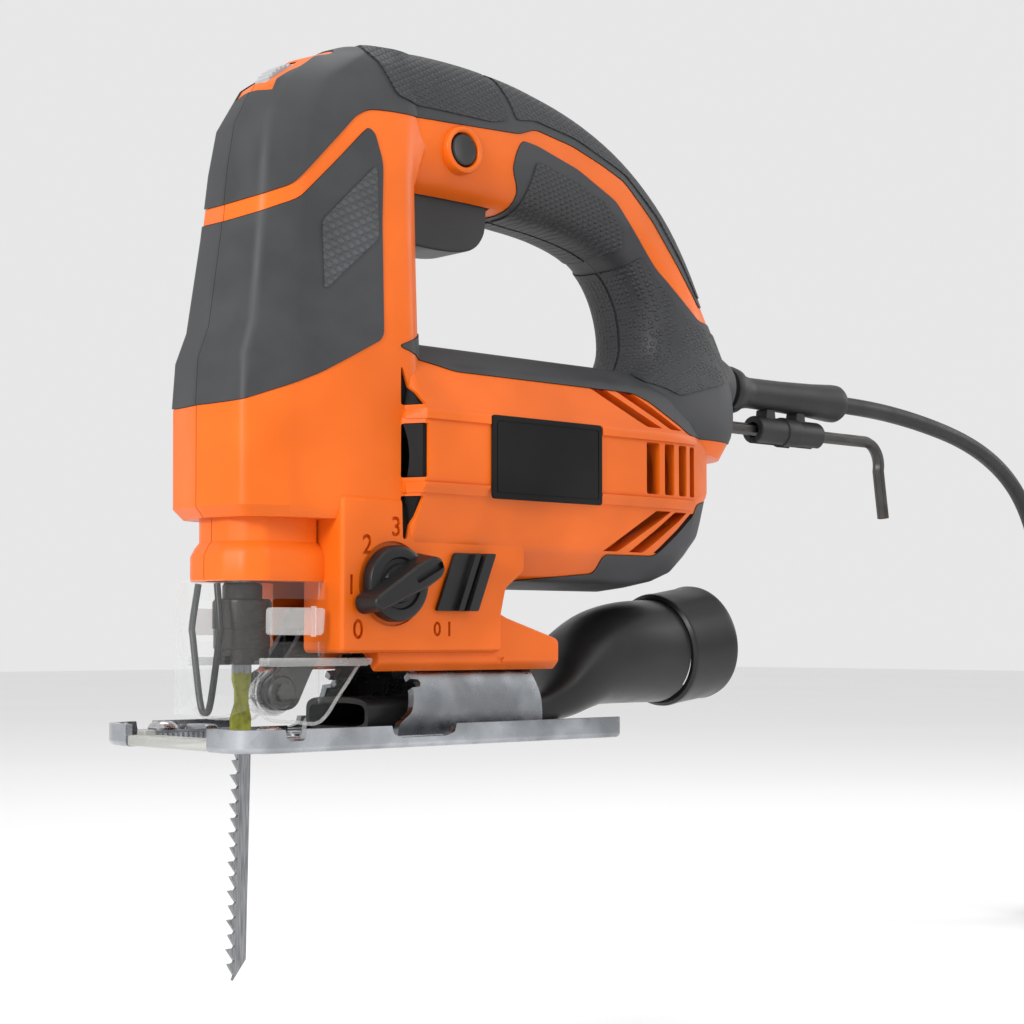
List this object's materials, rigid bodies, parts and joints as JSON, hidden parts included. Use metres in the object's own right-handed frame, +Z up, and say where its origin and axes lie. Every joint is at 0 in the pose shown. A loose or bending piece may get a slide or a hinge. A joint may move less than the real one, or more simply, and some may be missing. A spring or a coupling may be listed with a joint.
{
  "type": "jigsaw power tool",
  "caption": "Corded D-handle orbital-action jigsaw with tilting shoe, clear blade guard, dust nozzle and a straight wood blade.",
  "frame": {"origin": "centre of the shoe's sole on the line that the blade cuts; the front of the shoe is at x = -65 mm", "axes": "+X from the nose to the cord, +Y to the tool's right, +Z up from the sole"},
  "size_m": [0.563, 0.0978, 0.301],
  "materials": {
    "orange_housing": "satin moulded",
    "soft_grip": "stippled overmould",
    "black_plastic": "satin",
    "cord_rubber": "smooth",
    "zinc_steel": "zinc plated",
    "dark_steel": "black oxide",
    "blade_steel": "ground, painted shank",
    "cast_alloy": "die cast",
    "copper": "enamelled wire",
    "clear_plastic": "polished",
    "milky_plastic": "translucent"
  },
  "bodies": {
    "base": {"shoe_plate": "zinc_steel", "bevel_saddle": "zinc_steel", "splinter_insert": "milky_plastic", "horn_screw_left": "zinc_steel", "horn_screw_right": "zinc_steel"},
    "housing": {"left_shell": "orange_housing", "right_shell": "orange_housing", "hood_grip_left": "soft_grip", "hood_grip_right": "soft_grip", "nose_pad_left": "soft_grip", "nose_pad_right": "soft_grip", "rear_grip_left": "soft_grip", "rear_grip_right": "soft_grip", "tail_bumper": "soft_grip", "label_plate_left": "black_plastic", "label_plate_right": "black_plastic", "brush_holder_left": "black_plastic", "brush_holder_right": "black_plastic", "switch_box": "black_plastic", "hex_key_clip": "black_plastic", "wire_guard": "black_plastic", "cord_sleeve": "cord_rubber", "cord_run": "cord_rubber", "cord_coil": "cord_rubber", "plug": "cord_rubber", "shell_screw_1": "zinc_steel", "shell_screw_2": "zinc_steel", "shell_screw_3": "zinc_steel", "shell_screw_4": "zinc_steel", "stator_core": "zinc_steel", "front_bearing": "zinc_steel", "rear_bearing": "zinc_steel", "gear_shaft": "zinc_steel", "trigger_spring": "zinc_steel", "bevel_clamp_screw": "dark_steel", "gearbox_plate": "cast_alloy", "field_winding_front": "copper", "field_winding_rear": "copper"},
    "nozzle": {"dust_duct": "black_plastic", "hose_port": "black_plastic"},
    "armature": {"armature_shaft": "zinc_steel", "armature_core": "dark_steel", "commutator": "copper", "cooling_fan": "black_plastic", "pinion": "zinc_steel"},
    "gear": {"drive_gear": "zinc_steel"},
    "guide": {"plunger_guide": "cast_alloy"},
    "plunger": {"plunger": "zinc_steel", "clamp_body": "dark_steel"},
    "collar": {"clamp_collar": "dark_steel"},
    "blade": {"saw_blade": "blade_steel"},
    "lever": {"roller_lever": "dark_steel"},
    "roller": {"guide_roller": "zinc_steel"},
    "trigger": {"trigger": "black_plastic"},
    "lock": {"lock_button": "black_plastic"},
    "wheel": {"speed_wheel": "zinc_steel"},
    "dial": {"orbit_dial": "black_plastic"},
    "slider": {"blower_slider": "black_plastic"},
    "guard": {"clear_guard": "clear_plastic"},
    "key": {"hex_key": "dark_steel"}
  },
  "joints": [
    {"name": "bevel_tilt", "type": "hinge", "parent": "base", "child": "housing", "pos_m": [0, 0, 0.008], "axis": [1, 0, 0], "range_deg": [-45, 45]},
    {"name": "nozzle_pull", "type": "slide", "parent": "base", "child": "nozzle", "axis": [1, 0, 0], "range_m": [0, 0.1]},
    {"name": "gear_spin", "type": "hinge", "parent": "housing", "child": "gear", "pos_m": [0, 0, 0.1054], "axis": [1, 0, 0], "continuous": true},
    {"name": "armature_spin", "type": "hinge", "parent": "housing", "child": "armature", "pos_m": [0, 0, 0.082], "axis": [1, 0, 0], "continuous": true},
    {"name": "orbit_swing", "type": "hinge", "parent": "housing", "child": "lever", "pos_m": [-0.016, 0, 0.036], "axis": [0, 1, 0], "range_deg": [0, 4.5], "stiffness_Nm_per_rad": 2},
    {"name": "guide_rock", "type": "hinge", "parent": "housing", "child": "guide", "pos_m": [-0.04, 0, 0.131], "axis": [0, 1, 0], "range_deg": [0, 0.9]},
    {"name": "plunger_stroke", "type": "slide", "parent": "guide", "child": "plunger", "axis": [0, 0, 1], "range_m": [0, 0.02]},
    {"name": "clamp_twist", "type": "hinge", "parent": "plunger", "child": "collar", "pos_m": [-0.04, 0, 0.032], "axis": [0, 0, 1], "range_deg": [0, 80], "stiffness_Nm_per_rad": 0.05},
    {"name": "blade_pull", "type": "slide", "parent": "plunger", "child": "blade", "axis": [0, 0, -1], "range_m": [0, 0.018]},
    {"name": "roller_spin", "type": "hinge", "parent": "lever", "child": "roller", "pos_m": [-0.0306, 0, 0.015], "axis": [0, 1, 0], "continuous": true},
    {"name": "trigger_press", "type": "slide", "parent": "housing", "child": "trigger", "axis": [0, 0, 1], "range_m": [0, 0.006], "stiffness_N_per_m": 900, "springref_m": -0.002, "deforming": ["trigger_spring"]},
    {"name": "lock_press", "type": "slide", "parent": "housing", "child": "lock", "axis": [0, 1, 0], "range_m": [0, 0.003], "stiffness_N_per_m": 400, "springref_m": -0.001},
    {"name": "speed_turn", "type": "hinge", "parent": "housing", "child": "wheel", "pos_m": [-0.025, 0, 0.1848], "axis": [0, 1, 0], "range_deg": [-135, 135]},
    {"name": "orbit_select", "type": "hinge", "parent": "housing", "child": "dial", "pos_m": [-0.006, 0, 0.0456], "axis": [0, 1, 0], "range_deg": [0, 126]},
    {"name": "blower_slide", "type": "slide", "parent": "housing", "child": "slider", "axis": [-1, 0, 0], "range_m": [0, 0.004]},
    {"name": "guard_pull", "type": "slide", "parent": "housing", "child": "guard", "axis": [-1, 0, 0], "range_m": [0, 0.06]},
    {"name": "key_pull", "type": "slide", "parent": "housing", "child": "key", "axis": [1, 0, 0], "range_m": [0, 0.03]}
  ],
  "couplings": [
    {"joint": "armature_spin", "follows": "gear_spin", "ratio": -5.5},
    {"joint": "guide_rock", "follows": "orbit_swing", "ratio": 0.181}
  ]
}
